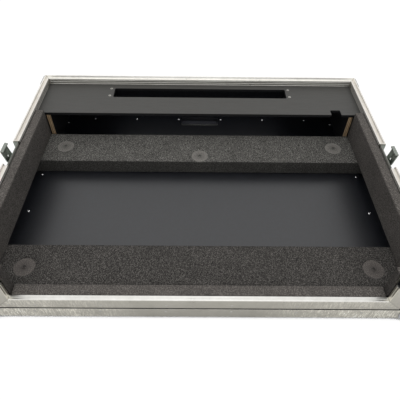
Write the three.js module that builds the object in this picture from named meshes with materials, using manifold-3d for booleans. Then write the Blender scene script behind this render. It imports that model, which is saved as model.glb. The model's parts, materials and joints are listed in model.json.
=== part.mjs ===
// Lower half of a flight case for a wide DJ controller, shown with its lid off.
// Plywood walls are held in aluminium sections: an angle round the bottom, a rim that the lid
// sits on, and a low cut-out at the front. Foam lines the bay, two foam rails carry the
// equipment, and a slotted shelf covers a cable compartment along the back.
// Millimetres, +X to the right, +Y to the back, +Z up. The origin is under the middle of the
// case, on the surface that its feet stand on.

import * as THREE from 'three';
import { mergeVertices } from 'three/addons/utils/BufferGeometryUtils.js';
import Module from 'manifold-3d';

const wasm = await Module();
wasm.setup();

// Whole case, over the aluminium
const caseWidth = 802;
const caseDepth = 602;
const caseHeight = 125;
const footHeight = 8;

// Plywood
const wallPly = 9.5;
const floorPly = 12;
const shelfPly = 6.5;
const uprightPly = 9.5;

// Clearances, and the overrun of every cut
const fit = 0.25;
const runningFit = 0.4;
const overrun = 5;

// Aluminium sections
const legThickness = 2;
const cornerRound = 1.6;
const bottomLegHeight = 28.5;
const bottomLegDepth = 34;
const cornerLeg = 27;
const rimInnerLeg = 3;
const rimLegHeight = 25;
const rimWeb = 2.5;
const tongueInset = 4;
const tongueWidth = 4.5;
const tongueHeight = 5;
const tongueTaper = 0.7;
const grooveCount = 4;
const groovePitch = 5;
const grooveWidth = 2.6;
const grooveDepth = 1;
const grooveFlank = 0.5;

// Cut-out in the front wall and its trim
const frontCorner = 76;
const lipHeight = 59;
const trimLeg = 26.3;
const trimDepth = 9.4;
const trimGrooveInset = 4;
const trimGrooveWidth = 1;
const trimGrooveDepth = 0.6;

// Foam lining and the two support rails
const foamThickness = 20;
const foamBelowRim = 4;
const stripBelowLip = 0.4;
const railHeight = 36;
const frontRailDepth = 90;
const rearRailDepth = 98;
const railNip = 1;

// Shelf over the cable compartment
const shelfBelowRim = 15;
const shelfDepth = 124;
const shelfGap = 4;
const slotLength = 432;
const slotWidth = 39;
const slotFromBack = 18;
const slotRadius = 4;
const notchWidth = 24;
const notchDepth = 18.5;
const notchFromSide = 48.5;
const notchRadius = 3;
const bracketFromSlot = 4;
const bracketDepth = 58;
const bracketHeight = 34;

// Opening through the floor for cables, under the shelf
const cableHoleLength = 98;
const cableHoleWidth = 35.5;
const cableHoleFromBack = 23;
const cableHoleRadius = 5;

// Screw and broad washer that hold each foam rail down
const washerRadius = 20;
const washerThickness = 2;
const washerSink = 3.2;
const screwRadius = 2.5;
const screwHeadRadius = 4.6;
const screwHeadHeight = 1.8;
const screwFlatShare = 0.7;
const washerFromSide = 64.5;
const frontWasherFromEdge = 40.5;
const rearWasherFromEdge = 45;
const middleWasherFromEdge = 76;

// Pressed corners and rubber feet
const pressing = 1.5;
const ballRadius = 14.5;
const ballInset = 8;
const ballLegCentre = 15;
const ballLegRadius = 33;
const braceLeg = 42;
const braceHeight = 38;
const braceRound = 9;
const braceBelowRim = 1.5;
const footRadius = 19;
const footTaper = 3.5;
const footInset = 70;
const footRecessRadius = 7;
const footRecessDepth = 5;
const footEdge = 1;

// Recessed latch in each side wall
const dishSheet = 1.2;
const dishWidth = 76;
const dishFloor = 54;
const dishRound = 7;
const flangeWidth = 12;
const spindleHeight = 80;
const spindleRadius = 4;
const crankDiscRadius = 10;
const crankDisc = 1.5;
const clawThickness = 2;
const clawWidth = 28;
const clawDepth = 6;
const clawFoot = 10;
const joggleFrom = 25;
const joggleTo = 32;
const joggle = 6;
const clawTip = 60;
const clawLean = 4.6;
const clawHook = 5;
const clawHookDrop = 1.2;
const clawTravel = 12;
const clawEyeRadius = 2.6;
const clawEyeHeight = 37;
const clawRibRadius = 1.5;
const clawRibFrom = 43;
const clawRibTo = 56;
const crankPinRadius = 3;
const crankLag = 1.3;
const guideWidth = 4;
const guideTop = 18;
const hingePinRadius = 1.5;
const hingePinClearance = 0.2;
const hingeAxisDepth = 1.4;
const knuckleRadius = 2.4;
const knuckleLength = 4.5;
const hingeBlockHalf = 4.2;
const hingeBlockHeight = 2.6;
const wingThickness = 2;
const wingHalfWidth = 17;
const wingLength = 15.5;
const wingRound = 5;
const wingWindow = 4.6;
const wingDip = 2;

// Heights of the main levels
const underside = footHeight;
const floorTop = underside + legThickness + fit + floorPly;
const rimTop = underside + caseHeight;
const wallBottom = floorTop + fit;
const wallTop = rimTop - rimWeb - fit;
const rimLegBottom = rimTop - rimLegHeight;
const lipTop = underside + lipHeight;
const railBottom = floorTop + fit;
const railTop = railBottom + railHeight;
const foamTop = rimTop - foamBelowRim;
const shelfTop = rimTop - shelfBelowRim;
const shelfBottom = shelfTop - shelfPly;
const liningBottom = railTop - railNip + fit;

// Depths inward from the outer face of the aluminium
const plyOuter = legThickness + fit;
const plyInner = plyOuter + wallPly;
const rimWidth = plyInner + fit + rimInnerLeg;
const foamInner = rimWidth + foamThickness;
const panFloor = legThickness + wallPly - dishSheet;

// Places in plan
const halfWidth = caseWidth / 2;
const halfDepth = caseDepth / 2;
const cutoutHalf = halfWidth - frontCorner;
const liningFront = -halfDepth + plyInner + fit;
const frontRailFront = liningFront + foamThickness + fit;
const frontRailBack = frontRailFront + frontRailDepth;
const shelfBack = halfDepth - rimWidth - fit;
const shelfFront = shelfBack - shelfDepth;
const rearRailBack = shelfFront - shelfGap;
const rearRailFront = rearRailBack - rearRailDepth;

// The four sides: how far each is turned from the front, its distance out and its length
const sides = {
  front: { turn: 0, out: halfDepth, run: caseWidth },
  right: { turn: Math.PI / 2, out: halfWidth, run: caseDepth },
  back: { turn: Math.PI, out: halfDepth, run: caseWidth },
  left: { turn: -Math.PI / 2, out: halfWidth, run: caseDepth },
};

// The four corners: how far each is turned from the front left one, and where it is
const corners = {
  front_left: { turn: 0, x: -halfWidth, y: -halfDepth },
  front_right: { turn: Math.PI / 2, x: halfWidth, y: -halfDepth },
  back_right: { turn: Math.PI, x: halfWidth, y: halfDepth },
  back_left: { turn: -Math.PI / 2, x: -halfWidth, y: halfDepth },
};

const finishes = {
  aluminium: { color: 0xc9c8c2, roughness: 0.38, metalness: 0.9 },
  laminate: { color: 0x17181a, roughness: 0.45, metalness: 0 },
  shelf: { color: 0x3b3a38, roughness: 0.7, metalness: 0 },
  plywood: { color: 0x9a7a52, roughness: 0.8, metalness: 0 },
  foam: { color: 0x3a3836, roughness: 0.95, metalness: 0 },
  washer: { color: 0x2e2d2c, roughness: 0.6, metalness: 0.2 },
  steel: { color: 0xb9bcba, roughness: 0.3, metalness: 0.95 },
  zinc: { color: 0x8d958e, roughness: 0.4, metalness: 0.9 },
  rubber: { color: 0x141414, roughness: 0.9, metalness: 0 },
};

const flightCase = new THREE.Group();

// Adds a named piece to the case or to a group in it
function add(name, geometry, finish, parent = flightCase) {
  const mesh = new THREE.Mesh(geometry, new THREE.MeshStandardMaterial(finishes[finish]));
  mesh.name = name;
  parent.add(mesh);
  return mesh;
}

// A frame on one side: local X along the wall, local Y inward from its outer face
function sideFrame(side) {
  const turned = new THREE.Group();
  turned.rotation.z = side.turn;
  const frame = new THREE.Group();
  frame.position.y = -side.out;
  turned.add(frame);
  flightCase.add(turned);
  return frame;
}

// A frame on one corner: local X and Y run inward along its two walls
function cornerFrame(corner) {
  const frame = new THREE.Group();
  frame.position.set(corner.x, corner.y, underside);
  frame.rotation.z = corner.turn;
  flightCase.add(frame);
  return frame;
}

// Turns a closed geometry into a solid for joins and cuts
function solid(geometry) {
  const bare = geometry.clone();
  bare.deleteAttribute('normal');
  bare.deleteAttribute('uv');
  const merged = mergeVertices(bare);
  return new wasm.Manifold(
    new wasm.Mesh({
      numProp: 3,
      vertProperties: new Float32Array(merged.attributes.position.array),
      triVerts: new Uint32Array(merged.index.array),
    }),
  );
}

function geometryOf(body) {
  const mesh = body.getMesh();
  const geometry = new THREE.BufferGeometry();
  geometry.setAttribute('position', new THREE.BufferAttribute(mesh.vertProperties, 3));
  geometry.setIndex(new THREE.BufferAttribute(mesh.triVerts, 1));
  geometry.computeVertexNormals();
  return geometry;
}

function joined(first, ...others) {
  return geometryOf(others.reduce((body, next) => body.add(solid(next)), solid(first)));
}

function cut(first, ...tools) {
  return geometryOf(tools.reduce((body, tool) => body.subtract(solid(tool)), solid(first)));
}

function box(x0, x1, y0, y1, z0, z1) {
  const geometry = new THREE.BoxGeometry(x1 - x0, y1 - y0, z1 - z0);
  return geometry.translate((x0 + x1) / 2, (y0 + y1) / 2, (z0 + z1) / 2);
}

function outline(points) {
  return new THREE.Shape(points.map(([x, y]) => new THREE.Vector2(x, y)));
}

// Part of a length
function share(length, part) {
  return length * part;
}

const square = () => 0;
const byDepth = ([depth]) => depth;
const byHeight = ([, height]) => height;

// A bar along local X from a section of [depth, height] points. Each end gives way by its inset.
function bar(section, start, end, startInset = square, endInset = square) {
  const geometry = new THREE.ExtrudeGeometry(outline(section), { depth: 1, bevelEnabled: false });
  const place = geometry.attributes.position;
  for (let i = 0; i < place.count; i += 1) {
    const point = [place.getX(i), place.getY(i)];
    const along = place.getZ(i) < 1 / 2 ? start + startInset(point) : end - endInset(point);
    place.setXYZ(i, along, point[0], point[1]);
  }
  return geometry;
}

// A plate from an outline of X and Z, between two places along Y
function plate(shape, y0, y1) {
  const geometry = new THREE.ExtrudeGeometry(shape, { depth: y1 - y0, bevelEnabled: false });
  return geometry.rotateX(Math.PI / 2).translate(0, y1, 0);
}

// A panel from an outline of X and Y, between two heights
function panel(shape, z0, z1, curveSegments = 6) {
  const options = { depth: z1 - z0, bevelEnabled: false, curveSegments };
  return new THREE.ExtrudeGeometry(shape, options).translate(0, 0, z0);
}

// A turned piece about Z, from a profile of [radius, height] points that runs upward
function turned(profile, segments) {
  const points = profile.map(([radius, height]) => new THREE.Vector2(radius, height));
  return new THREE.LatheGeometry(points, segments).rotateX(Math.PI / 2);
}

// A round bar along local Y
function round(radius, y0, y1, z, segments = 28) {
  const geometry = new THREE.CylinderGeometry(radius, radius, y1 - y0, segments);
  return geometry.translate(0, (y0 + y1) / 2, z);
}

// A round bar along local X
function roundAcross(radius, x0, x1, y, z, segments = 16) {
  const geometry = new THREE.CylinderGeometry(radius, radius, x1 - x0, segments);
  return geometry.rotateZ(Math.PI / 2).translate((x0 + x1) / 2, y, z);
}

function roundedRectangle(path, x0, x1, y0, y1, radius) {
  path.moveTo(x0 + radius, y0);
  path.lineTo(x1 - radius, y0);
  path.absarc(x1 - radius, y0 + radius, radius, -Math.PI / 2, 0, false);
  path.lineTo(x1, y1 - radius);
  path.absarc(x1 - radius, y1 - radius, radius, 0, Math.PI / 2, false);
  path.lineTo(x0 + radius, y1);
  path.absarc(x0 + radius, y1 - radius, radius, Math.PI / 2, Math.PI, false);
  path.lineTo(x0, y0 + radius);
  path.absarc(x0 + radius, y0 + radius, radius, Math.PI, (Math.PI * 3) / 2, false);
  return path;
}

// The rounded outer corner of an angle section, as [depth, height] points round its centre
function roundedCorner(radius, steps) {
  const points = [];
  for (let i = 0; i <= steps; i += 1) {
    const angle = Math.PI + (Math.PI / 2) * (i / steps);
    points.push([radius + radius * Math.cos(angle), radius + radius * Math.sin(angle)]);
  }
  return points;
}

// Floor with its cable hole, a plain back, a front with the cut-out and sides with latch notches
function plywoodWalls() {
  const inside = halfWidth - plyOuter;
  const front = -halfDepth + plyOuter;
  const board = outline([[-inside, front], [inside, front], [inside, -front], [-inside, -front]]);
  const hole = new THREE.Path();
  const holeHalf = cableHoleLength / 2;
  const holeBack = halfDepth - cableHoleFromBack;
  const holeFront = holeBack - cableHoleWidth;
  roundedRectangle(hole, -holeHalf, holeHalf, holeFront, holeBack, cableHoleRadius);
  board.holes.push(hole);
  add('floor_panel', panel(board, floorTop - floorPly, floorTop), 'laminate');
  const back = box(-inside, inside, -front - wallPly, -front, wallBottom, wallTop);
  add('back_panel', back, 'laminate');

  const edge = cutoutHalf + legThickness + fit;
  const sill = lipTop - legThickness - fit;
  const shape = outline([
    [-inside, wallBottom],
    [inside, wallBottom],
    [inside, wallTop],
    [edge, wallTop],
    [edge, sill],
    [-edge, sill],
    [-edge, wallTop],
    [-inside, wallTop],
  ]);
  add('front_panel', plate(shape, front, front + wallPly), 'laminate');

  const reach = halfDepth - plyInner - fit;
  const notch = dishWidth / 2 + fit;
  const notchBottom = underside + dishFloor - dishSheet - fit;
  const sideShape = outline([
    [-reach, wallBottom],
    [reach, wallBottom],
    [reach, wallTop],
    [notch, wallTop],
    [notch, notchBottom],
    [-notch, notchBottom],
    [-notch, wallTop],
    [-reach, wallTop],
  ]);
  for (const side of ['left', 'right']) {
    const wall = plate(sideShape, plyOuter, plyInner);
    add(`${side}_panel`, wall, 'laminate', sideFrame(sides[side]));
  }
}

// Angle round the bottom, mitred at the corners
function bottomEdges() {
  const section = [
    ...roundedCorner(cornerRound, 4),
    [bottomLegDepth, 0],
    [bottomLegDepth, legThickness],
    [legThickness, legThickness],
    [legThickness, bottomLegHeight],
    [0, bottomLegHeight],
  ];
  for (const [name, side] of Object.entries(sides)) {
    const end = side.run / 2 - fit;
    const length = bar(section, -end, end, byDepth, byDepth);
    const mesh = add(`bottom_edge_${name}`, length, 'aluminium', sideFrame(side));
    mesh.position.z = underside;
  }
}

// Upright angle on each corner, between the bottom angle and the rim
function cornerEdges() {
  const section = [
    ...roundedCorner(cornerRound, 4),
    [cornerLeg, 0],
    [cornerLeg, legThickness],
    [legThickness, legThickness],
    [legThickness, cornerLeg],
    [0, cornerLeg],
  ];
  const bottom = bottomLegHeight + fit;
  const top = caseHeight - rimLegHeight - fit;
  for (const [name, corner] of Object.entries(corners)) {
    add(`corner_edge_${name}`, panel(outline(section), bottom, top), 'aluminium', cornerFrame(corner));
  }
}

// Section of the lid rim: a channel over the plywood, with a tongue that locates the lid
// and fine grooves along its inner leg. Heights are measured from the shoulder.
function rimSection() {
  const grooves = [];
  for (let i = grooveCount - 1; i >= 0; i -= 1) {
    const top = -cornerRound - i * groovePitch;
    grooves.push([rimWidth, top - grooveWidth]);
    grooves.push([rimWidth - grooveDepth, top - grooveWidth + grooveFlank]);
    grooves.push([rimWidth - grooveDepth, top - grooveFlank]);
    grooves.push([rimWidth, top]);
  }
  const tongueEnd = tongueInset + tongueWidth;
  return [
    [0, -rimLegHeight],
    [legThickness, -rimLegHeight],
    [legThickness, -rimWeb],
    [rimWidth - rimInnerLeg, -rimWeb],
    [rimWidth - rimInnerLeg, -rimLegHeight],
    [rimWidth, -rimLegHeight],
    ...grooves,
    [rimWidth - tongueTaper, 0],
    [tongueEnd, 0],
    [tongueEnd - tongueTaper, tongueHeight - tongueTaper],
    [tongueEnd - 2 * tongueTaper, tongueHeight],
    [tongueInset + 2 * tongueTaper, tongueHeight],
    [tongueInset + tongueTaper, tongueHeight - tongueTaper],
    [tongueInset, 0],
    [cornerRound, 0],
    [0, -cornerRound],
  ];
}

// The rim runs round the back and sides and over the front corners. Each side is in two
// lengths, with the outer leg cut back so that the latch flange lies on the plywood.
function rim() {
  const section = rimSection();
  const level = (mesh) => mesh.position.set(0, 0, rimTop);
  const end = halfWidth - fit;
  level(add('rim_back', bar(section, -end, end, byDepth, byDepth), 'aluminium', sideFrame(sides.back)));

  const latchEnd = dishWidth / 2 + fit;
  const legEnd = dishWidth / 2 + flangeWidth + fit;
  const corner = halfDepth - fit;
  for (const side of ['left', 'right']) {
    const frame = sideFrame(sides[side]);
    const frontSign = side === 'right' ? -1 : 1;
    for (const [place, sign] of [['front', frontSign], ['rear', -frontSign]]) {
      const length = sign < 0
        ? bar(section, -corner, -latchEnd, byDepth, square)
        : bar(section, latchEnd, corner, square, byDepth);
      const from = sign < 0 ? -legEnd : 0;
      const to = sign < 0 ? 0 : legEnd;
      const relief = box(from, to, -overrun, legThickness + fit, -rimLegHeight - overrun, -rimWeb);
      level(add(`rim_${side}_${place}`, cut(length, relief), 'aluminium', frame));
    }
  }

  const left = bar(section, -end, -cutoutHalf, byDepth, square);
  const right = bar(section, cutoutHalf, end, square, byDepth);
  level(add('rim_front_left', left, 'aluminium', sideFrame(sides.front)));
  level(add('rim_front_right', right, 'aluminium', sideFrame(sides.front)));
}

// Angle that trims the front cut-out: a low lip, and a post up each side, mitred together.
// Heights are measured down from the edge of the opening.
function cutoutTrim() {
  const grooveStart = trimDepth - trimGrooveInset - trimGrooveWidth;
  const middle = grooveStart + trimGrooveWidth / 2;
  const rounding = roundedCorner(cornerRound, 4).map(([depth, height]) => [depth, -height]).reverse();
  const section = [
    [0, -trimLeg],
    [legThickness, -trimLeg],
    [legThickness, -legThickness],
    [trimDepth, -legThickness],
    [trimDepth, 0],
    [grooveStart + trimGrooveWidth, 0],
    [middle, -trimGrooveDepth],
    [grooveStart, 0],
    ...rounding,
  ];
  const lipEnd = cutoutHalf - fit;
  const lip = add('front_lip', bar(section, -lipEnd, lipEnd, byHeight, byHeight), 'aluminium');
  lip.position.set(0, -halfDepth, lipTop);

  const postBottom = lipTop + fit;
  const postTop = rimLegBottom - fit;
  const right = bar(section, postBottom, postTop, byHeight, square);
  const rightPost = add('front_post_right', right, 'aluminium');
  rightPost.rotation.y = -Math.PI / 2;
  rightPost.position.set(cutoutHalf, -halfDepth, 0);
  const left = bar(section, -postTop, -postBottom, square, byHeight);
  const leftPost = add('front_post_left', left, 'aluminium');
  leftPost.rotation.y = Math.PI / 2;
  leftPost.position.set(-cutoutHalf, -halfDepth, 0);
}

// Pressed steel ball corner: three rounded legs and a ball over the mitred corner
function ballCorners() {
  const face = -fit - pressing;
  const far = ballLegCentre + ballLegRadius;
  const legSphere = new THREE.SphereGeometry(ballLegRadius, 24, 16);
  legSphere.translate(ballLegCentre, ballLegCentre, ballLegCentre);
  const legs = solid(box(face, far, face, far, face, far)).intersect(solid(legSphere));
  const ball = solid(
    new THREE.SphereGeometry(ballRadius, 16, 10).translate(ballInset, ballInset, ballInset),
  );
  const inside = solid(box(-fit, far + overrun, -fit, far + overrun, -fit, far + overrun));
  const corner = geometryOf(legs.add(ball).subtract(inside));
  for (const [name, place] of Object.entries(corners)) {
    add(`ball_corner_${name}`, corner, 'steel', cornerFrame(place));
  }
}

// Flat pressed brace round the top of each corner, with rounded free corners
function cornerBraces() {
  const face = -fit - pressing;
  const top = caseHeight - braceBelowRim;
  const leg = new THREE.Shape();
  leg.moveTo(face, top - braceHeight);
  leg.lineTo(braceLeg - braceRound, top - braceHeight);
  leg.absarc(braceLeg - braceRound, top - braceHeight + braceRound, braceRound, -Math.PI / 2, 0, false);
  leg.lineTo(braceLeg, top - braceRound);
  leg.absarc(braceLeg - braceRound, top - braceRound, braceRound, 0, Math.PI / 2, false);
  leg.lineTo(face, top);
  const first = plate(leg, face, -fit);
  const second = plate(leg, face, -fit).scale(-1, 1, 1).rotateZ(-Math.PI / 2);
  const brace = joined(first, turnedInsideOut(second));
  for (const [name, place] of Object.entries(corners)) {
    add(`corner_brace_${name}`, brace, 'steel', cornerFrame(place));
  }
}

// A mirrored geometry has its triangles the wrong way round: this swaps two corners of each
function turnedInsideOut(geometry) {
  const place = geometry.attributes.position;
  const from = new THREE.Vector3();
  const to = new THREE.Vector3();
  for (let i = 0; i < place.count; i += 3) {
    from.fromBufferAttribute(place, i + 1);
    to.fromBufferAttribute(place, i + 2);
    place.setXYZ(i + 1, to.x, to.y, to.z);
    place.setXYZ(i + 2, from.x, from.y, from.z);
  }
  return geometry;
}

// Four rubber feet under the floor board, each recessed for its screw
function feet() {
  const seat = underside + legThickness;
  const foot = turned(
    [
      [0, footRecessDepth],
      [footRecessRadius, footRecessDepth],
      [footRecessRadius, 0],
      [footRadius - footTaper, 0],
      [footRadius - footTaper + footEdge, footEdge],
      [footRadius, seat],
      [0, seat],
    ],
    28,
  );
  for (const [name, corner] of Object.entries(corners)) {
    const x = Math.sign(corner.x) * (halfWidth - footInset);
    const y = Math.sign(corner.y) * (halfDepth - footInset);
    add(`foot_${name}`, foot, 'rubber').position.set(x, y, 0);
  }
}

// Places of the five washers: two at the ends of each rail, one in the middle of the rear rail
function washerPlaces() {
  const x = halfWidth - rimWidth - washerFromSide;
  const front = frontRailFront + frontWasherFromEdge;
  const rear = rearRailBack - rearWasherFromEdge;
  return {
    front: [['front_left', -x, front], ['front_right', x, front]],
    rear: [
      ['rear_left', -x, rear],
      ['rear_middle', 0, rearRailBack - middleWasherFromEdge],
      ['rear_right', x, rear],
    ],
  };
}

// Foam rail with a shallow round pocket and a hole for each washer and screw. The side lining
// stands on its ends and presses them down a little.
function foamRail(name, places, y0, y1) {
  const half = halfWidth - plyInner - fit;
  const clear = halfWidth - foamInner - fit;
  const pressed = [y0 - overrun, y1 + overrun, railTop - railNip, railTop + overrun];
  const tools = [
    box(-half - overrun, -clear, ...pressed),
    box(clear, half + overrun, ...pressed),
  ];
  for (const [, x, y] of places) {
    const pocket = washerRadius + fit;
    const hole = screwRadius + fit;
    const depth = washerSink + washerThickness - fit;
    const tool = turned(
      [
        [0, railBottom - overrun],
        [hole, railBottom - overrun],
        [hole, railTop - depth],
        [pocket, railTop - depth],
        [pocket, railTop + overrun],
        [0, railTop + overrun],
      ],
      28,
    );
    tools.push(tool.translate(x, y, 0));
  }
  add(name, cut(box(-half, half, y0, y1, railBottom, railTop), ...tools), 'foam');
}

function foamRails() {
  const places = washerPlaces();
  foamRail('front_rail_foam', places.front, frontRailFront, frontRailBack);
  foamRail('rear_rail_foam', places.rear, rearRailFront, rearRailBack);
  const seat = railTop - washerSink - washerThickness + 2 * fit;
  const top = seat + washerThickness;
  const washer = turned(
    [
      [0, floorTop + fit],
      [screwRadius, floorTop + fit],
      [screwRadius, seat],
      [washerRadius, seat],
      [washerRadius, top - fit],
      [washerRadius - fit, top],
      [screwHeadRadius, top],
      [screwHeadRadius, top + screwHeadHeight / 2],
      [share(screwHeadRadius, screwFlatShare), top + screwHeadHeight],
      [0, top + screwHeadHeight],
    ],
    28,
  );
  for (const [name, x, y] of [...places.front, ...places.rear]) {
    add(`rail_washer_${name}`, washer, 'washer').position.set(x, y, 0);
  }
}

// Section of tall lining foam on a wall: it steps back over the inner leg of the rim
function liningSection(bottom, inner) {
  const under = rimLegBottom - fit;
  const outer = plyInner + fit;
  return [
    [outer, bottom],
    [inner, bottom],
    [inner, foamTop],
    [rimWidth + fit, foamTop],
    [rimWidth + fit, under],
    [outer, under],
  ];
}

// Foam on the side walls, from the ends of the rails up to the rim
function sideFoams() {
  const section = liningSection(liningBottom, foamInner);
  const front = -halfDepth + rimWidth + fit;
  for (const side of ['left', 'right']) {
    const start = side === 'right' ? front : -rearRailBack;
    const end = side === 'right' ? rearRailBack : -front;
    add(`side_foam_${side}`, bar(section, start, end), 'foam', sideFrame(sides[side]));
  }
}

// Foam behind the front wall: a low strip that laps over the wall's edge as far as the lip, and
// a tall block in each corner
function frontFoams() {
  const inner = liningFront + foamThickness + halfDepth;
  const stripTop = lipTop - stripBelowLip;
  const stripHalf = cutoutHalf - fit;
  const stripSection = [
    [plyInner + fit, railBottom],
    [inner, railBottom],
    [inner, stripTop],
    [trimDepth + fit, stripTop],
    [trimDepth + fit, lipTop - legThickness],
    [plyInner + fit, lipTop - legThickness],
  ];
  const outer = halfWidth - foamInner - fit;
  const section = liningSection(railBottom, inner);
  const frame = sideFrame(sides.front);
  add('front_foam_strip', bar(stripSection, -stripHalf, stripHalf), 'foam', frame);
  add('front_corner_foam_left', bar(section, -outer, -cutoutHalf), 'foam', frame);
  add('front_corner_foam_right', bar(section, cutoutHalf, outer), 'foam', frame);
}

// Shelf with a long round-cornered slot for cables and a small notch in its front edge
function shelf() {
  const half = halfWidth - rimWidth - fit;
  const notchRight = half + fit - notchFromSide;
  const notchLeft = notchRight - notchWidth;
  const notchBack = shelfFront + notchDepth;
  const shape = new THREE.Shape();
  shape.moveTo(-half, shelfFront);
  shape.lineTo(notchLeft, shelfFront);
  shape.lineTo(notchLeft, notchBack - notchRadius);
  shape.absarc(notchLeft + notchRadius, notchBack - notchRadius, notchRadius, Math.PI, Math.PI / 2, true);
  shape.lineTo(notchRight - notchRadius, notchBack);
  shape.absarc(notchRight - notchRadius, notchBack - notchRadius, notchRadius, Math.PI / 2, 0, true);
  shape.lineTo(notchRight, shelfFront);
  shape.lineTo(half, shelfFront);
  shape.lineTo(half, shelfBack);
  shape.lineTo(-half, shelfBack);
  const slotBack = shelfBack - slotFromBack;
  const slotHalf = slotLength / 2;
  const slot = new THREE.Path();
  roundedRectangle(slot, -slotHalf, slotHalf, slotBack - slotWidth, slotBack, slotRadius);
  shape.holes.push(slot);
  add('shelf_panel', panel(shape, shelfBottom, shelfTop), 'shelf');

  const upright = [shelfFront, shelfBack, floorTop + fit, shelfBottom - fit];
  const outer = halfWidth - foamInner;
  const inner = outer - uprightPly;
  add('shelf_upright_left', box(-outer, -inner, ...upright), 'plywood');
  add('shelf_upright_right', box(inner, outer, ...upright), 'plywood');

  const near = slotHalf + bracketFromSlot;
  const far = near + uprightPly;
  const under = shelfBottom - fit;
  const bracket = [shelfBack - bracketDepth, shelfBack, under - bracketHeight, under];
  add('shelf_bracket_left', box(-far, -near, ...bracket), 'plywood');
  add('shelf_bracket_right', box(near, far, ...bracket), 'plywood');
}

// Outline of the latch dish, open at the top, grown outward by a margin
function dishOutline(margin) {
  const half = dishWidth / 2 - dishSheet + margin;
  const bottom = dishFloor - margin;
  const radius = dishRound + margin;
  const top = caseHeight - rimWeb - fit;
  const shape = new THREE.Shape();
  shape.moveTo(-half, top);
  shape.lineTo(-half, bottom + radius);
  shape.absarc(-half + radius, bottom + radius, radius, Math.PI, (Math.PI * 3) / 2, false);
  shape.lineTo(half - radius, bottom);
  shape.absarc(half - radius, bottom + radius, radius, -Math.PI / 2, 0, false);
  shape.lineTo(half, top);
  return shape;
}

// Pressed dish of the latch: a flange on the wall, a pan let into it and two guides for the claw
function latchDish() {
  const face = legThickness - dishSheet;
  const flange = plate(dishOutline(dishSheet + flangeWidth), face, legThickness);
  const pan = plate(dishOutline(dishSheet), face, panFloor + dishSheet);
  const hollow = plate(dishOutline(0), face - overrun, panFloor);
  const openTop = caseHeight + overrun;
  const half = dishWidth / 2 - dishSheet;
  const mouth = box(-half, half, face - overrun, panFloor, dishFloor + dishRound, openTop);
  const guideInner = clawWidth / 2 + runningFit;
  const guides = [-1, 1].map((sign) => {
    const ends = [sign * guideInner, sign * (guideInner + guideWidth)].sort((a, b) => a - b);
    return box(...ends, clawDepth, panFloor + fit, dishFloor, spindleHeight + guideTop);
  });
  const shell = solid(flange).add(solid(pan)).subtract(solid(hollow)).subtract(solid(mouth));
  return geometryOf(guides.reduce((body, guide) => body.add(solid(guide)), shell));
}

// Claw: a plate that slides in the dish, steps out to the face of the case, leans out over the
// rim and hooks back at its top. The cross-shaped window takes the spindle and its crank pin.
function latchClaw() {
  const front = clawDepth;
  const back = clawDepth + clawThickness;
  const foot = spindleHeight - clawFoot;
  const low = spindleHeight + joggleFrom;
  const high = spindleHeight + joggleTo;
  const tip = spindleHeight + clawTip;
  const lean = joggle + clawLean;
  const section = [
    [front, foot],
    [back, foot],
    [back, low],
    [back - joggle, high],
    [back - lean, tip - clawThickness],
    [back - lean + clawHook, tip - clawThickness - clawHookDrop],
    [back - lean + clawHook, tip - clawHookDrop],
    [front - lean + clawThickness / 2, tip],
    [front - lean, tip - clawThickness / 2],
    [front - joggle, high],
    [front, low],
  ];
  const body = bar(section, -clawWidth / 2, clawWidth / 2);
  const slope = Math.atan2(clawLean, tip - clawThickness - high);
  const ribLength = clawRibTo - clawRibFrom;
  const rib = new THREE.CapsuleGeometry(clawRibRadius, ribLength, 3, 10)
    .rotateX(Math.PI / 2 + slope)
    .translate(0, back - joggle - clawRibRadius / 2, spindleHeight + (clawRibFrom + clawRibTo) / 2)
    .translate(0, -clawLean / 2, 0);
  const crankThrow = clawTravel / 2;
  const pinHalf = crankThrow + crankPinRadius + runningFit;
  const slotHalf = crankPinRadius + crankLag + runningFit;
  const shaftHalf = spindleRadius + runningFit;
  const pinLevel = spindleHeight + crankThrow;
  const depths = [front - overrun, back + overrun];
  const slot = box(-pinHalf, pinHalf, ...depths, pinLevel - slotHalf, pinLevel + slotHalf);
  const lowest = spindleHeight - shaftHalf;
  const way = box(-shaftHalf, shaftHalf, ...depths, lowest, spindleHeight + clawTravel + shaftHalf);
  const eye = round(clawEyeRadius, -overrun, back + overrun, spindleHeight + clawEyeHeight, 16);
  return cut(joined(body, rib), slot, way, eye);
}

// Spindle: a shaft with two discs that hold the crank pin, and a block for the wing's hinge pin
function latchSpindle() {
  const clawBack = clawDepth + clawThickness;
  const outerDisc = clawDepth - runningFit - crankDisc;
  const innerDisc = clawBack + runningFit;
  const level = spindleHeight;
  const pinEnd = hingeBlockHalf + runningFit + knuckleLength + fit;
  const blockFront = hingeAxisDepth - hingePinRadius - fit;
  return joined(
    round(spindleRadius, outerDisc + crankDisc / 2, panFloor - fit, level),
    round(crankDiscRadius, outerDisc, outerDisc + crankDisc, level),
    round(crankDiscRadius, innerDisc, innerDisc + crankDisc, level),
    round(crankPinRadius, outerDisc + crankDisc / 2, innerDisc + crankDisc / 2, level + clawTravel / 2, 18),
    box(
      -hingeBlockHalf,
      hingeBlockHalf,
      blockFront,
      outerDisc + crankDisc / 2,
      level - hingeBlockHeight,
      level + hingeBlockHeight,
    ),
    roundAcross(hingePinRadius, -pinEnd, pinEnd, hingeAxisDepth, level),
  );
}

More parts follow.
